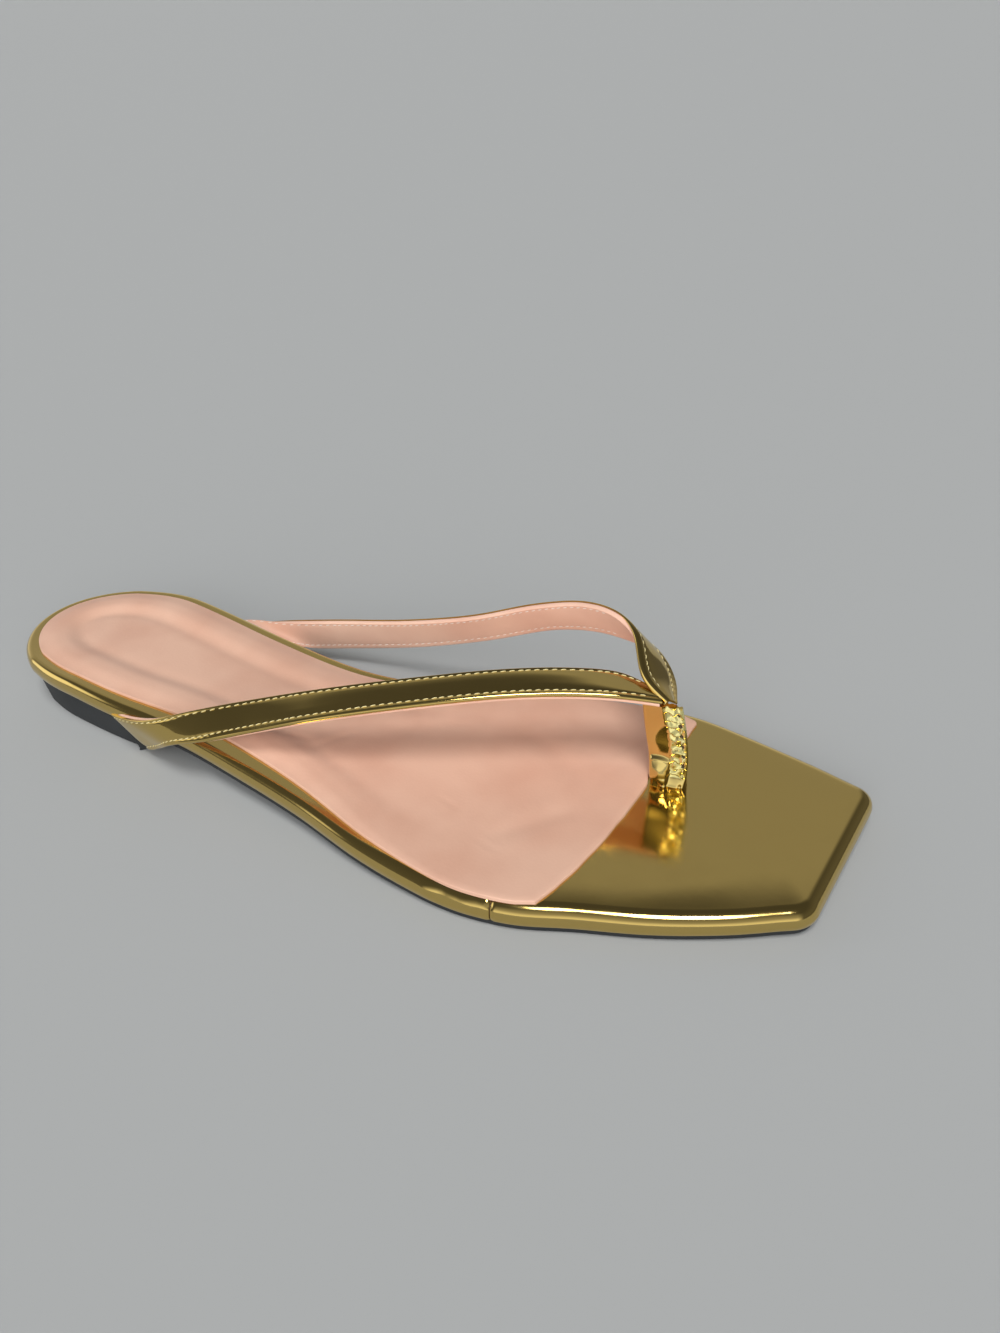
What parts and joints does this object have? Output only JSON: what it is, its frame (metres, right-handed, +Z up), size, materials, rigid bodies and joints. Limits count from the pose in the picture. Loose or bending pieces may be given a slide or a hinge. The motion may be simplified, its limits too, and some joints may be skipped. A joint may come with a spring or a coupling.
{
  "type": "toe post sandal",
  "caption": "Flat right-foot toe post sandal: slim straps meet at a post over a square-toed covered footbed with a sock lining and a low heel block.",
  "frame": {"origin": "on the floor under the middle of the sandal's box", "axes": "+Y to the toe, +X to the outer side of the right foot, +Z up"},
  "size_m": [0.0918, 0.2576, 0.0422],
  "materials": {
    "black_rubber": "matte",
    "insole_board": "fibre board with foam",
    "mirror_gold": "mirror foil",
    "pink_lining": "matte lining"
  },
  "bodies": {
    "root": {"outsole": "black_rubber", "heel": "black_rubber", "footbed": "insole_board", "rand": "mirror_gold", "toe_cover": "mirror_gold", "sock_lining": "pink_lining", "upper": "mirror_gold", "toe_post": "mirror_gold"}
  },
  "joints": []
}
